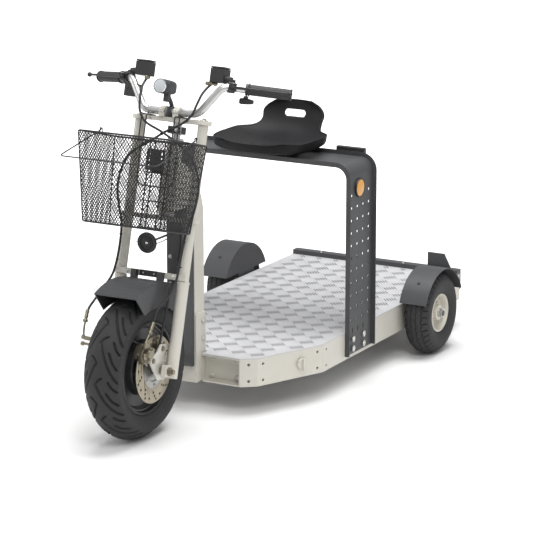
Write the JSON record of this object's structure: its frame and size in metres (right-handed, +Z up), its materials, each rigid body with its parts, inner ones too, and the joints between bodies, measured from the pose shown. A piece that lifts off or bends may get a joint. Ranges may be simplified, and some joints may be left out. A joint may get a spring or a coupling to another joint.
{
  "type": "industrial scooter",
  "caption": "Three-wheeled ride-on platform scooter: raked fork with hub wheel and basket, flat tread deck, perforated arch with a seat, two small rear wheels under fenders",
  "frame": {"origin": "on the ground, at the middle of the bounding box seen from above", "axes": "+Z up; the scooter drives towards -Y; +X is its left side"},
  "size_m": [0.808, 1.7498, 1.0408],
  "materials": {
    "tread_plate": "five bar tread, satin",
    "cream_paint": "satin cream",
    "dark_paint": "satin dark grey",
    "bright_steel": "zinc plated",
    "disc_steel": "ground and tinted by heat",
    "battery_case": "moulded",
    "black_plastic": "moulded, matt",
    "black_metal": "powder coat",
    "rubber": "matt",
    "tyre_rubber": "matt",
    "amber_lens": "gloss",
    "red_lens": "gloss",
    "clear_lens": "clear"
  },
  "bodies": {
    "chassis": {"deck_plate": "tread_plate", "front_rails": "cream_paint", "side_rails": "cream_paint", "front_channels": "cream_paint", "cross_members": "cream_paint", "rear_bumper": "dark_paint", "plate_tab": "dark_paint", "battery_tray": "bright_steel", "battery_pack": "battery_case", "motor_controller": "bright_steel", "steering_tower": "cream_paint", "tower_brackets": "cream_paint", "head_tube": "cream_paint", "head_bearings": "bright_steel", "front_shield": "dark_paint", "horn": "black_plastic", "horn_bracket": "bright_steel", "seat_arch": "dark_paint", "arch_bolts": "bright_steel", "reflector_bases": "black_plastic", "reflector_lenses": "amber_lens", "tail_lamp_housing": "black_plastic", "tail_lamp_lens": "red_lens", "seat_mount": "black_plastic", "seat_shell": "black_plastic", "axle_beam": "dark_paint", "rear_axle_nuts": "bright_steel", "rear_fenders": "dark_paint", "switch_body": "black_plastic"},
    "fork": {"steering_stem": "bright_steel", "top_clamp": "cream_paint", "lower_clamp": "cream_paint", "fork_legs": "cream_paint", "fork_bridge": "cream_paint", "front_fender": "dark_paint", "front_axle": "bright_steel", "calipers": "disc_steel", "caliper_brackets": "bright_steel", "handlebar": "cream_paint", "bar_clamps": "cream_paint", "grip_left": "rubber", "brake_cylinders": "black_plastic", "headlamp": "dark_paint", "headlamp_lens": "clear_lens", "brake_hoses": "rubber", "basket_mesh": "black_metal", "basket_frame": "black_metal"},
    "front_wheel": {"front_tyre": "tyre_rubber", "front_hub": "black_metal", "brake_discs": "disc_steel"},
    "rear_wheel_left": {"rear_tyre_left": "tyre_rubber", "rear_hub_left": "cream_paint"},
    "rear_wheel_right": {"rear_tyre_right": "tyre_rubber", "rear_hub_right": "cream_paint"},
    "throttle": {"throttle_grip": "rubber"},
    "lever_left": {"brake_lever_left": "black_metal"},
    "lever_right": {"brake_lever_right": "black_metal"},
    "thumb": {"thumb_lever": "black_plastic"},
    "bail": {"basket_bail": "bright_steel"},
    "knob": {"switch_knob": "cream_paint"}
  },
  "joints": [
    {"name": "steering", "type": "hinge", "parent": "chassis", "child": "fork", "pos_m": [0, -0.45973, 0.7138], "axis": [0, 0.2622, 0.965], "range_deg": [-35, 35]},
    {"name": "front_wheel_spin", "type": "hinge", "parent": "fork", "child": "front_wheel", "pos_m": [0, -0.665, 0.21], "axis": [1, 0, 0], "continuous": true},
    {"name": "rear_left_spin", "type": "hinge", "parent": "chassis", "child": "rear_wheel_left", "pos_m": [0.359, 0.534, 0.133], "axis": [1, 0, 0], "continuous": true},
    {"name": "rear_right_spin", "type": "hinge", "parent": "chassis", "child": "rear_wheel_right", "pos_m": [-0.359, 0.534, 0.133], "axis": [1, 0, 0], "continuous": true},
    {"name": "brake_left", "type": "hinge", "parent": "fork", "child": "lever_left", "pos_m": [0.18409, -0.42055, 0.98916], "axis": [0, 0.2622, 0.965], "range_deg": [0, 5], "stiffness_Nm_per_rad": 3},
    {"name": "brake_right", "type": "hinge", "parent": "fork", "child": "lever_right", "pos_m": [-0.18409, -0.42055, 0.98916], "axis": [0, -0.2622, -0.965], "range_deg": [0, 5], "stiffness_Nm_per_rad": 3},
    {"name": "throttle_twist", "type": "hinge", "parent": "fork", "child": "throttle", "pos_m": [-0.24274, -0.35876, 0.97238], "axis": [-0.891, 0.4381, -0.119], "range_deg": [0, 75], "stiffness_Nm_per_rad": 0.2},
    {"name": "thumb_press", "type": "hinge", "parent": "fork", "child": "thumb", "pos_m": [0.20443, -0.38261, 0.95906], "axis": [0, -0.2622, -0.965], "range_deg": [0, 25], "stiffness_Nm_per_rad": 0.1},
    {"name": "bail_swing", "type": "hinge", "parent": "fork", "child": "bail", "pos_m": [0, -0.5809, 0.86279], "axis": [-1, 0, 0], "range_deg": [0, 100]},
    {"name": "switch_turn", "type": "hinge", "parent": "chassis", "child": "knob", "pos_m": [0.27182, -0.17548, 0.1305], "axis": [0.9154, -0.4025, 0], "range_deg": [0, 90]}
  ]
}
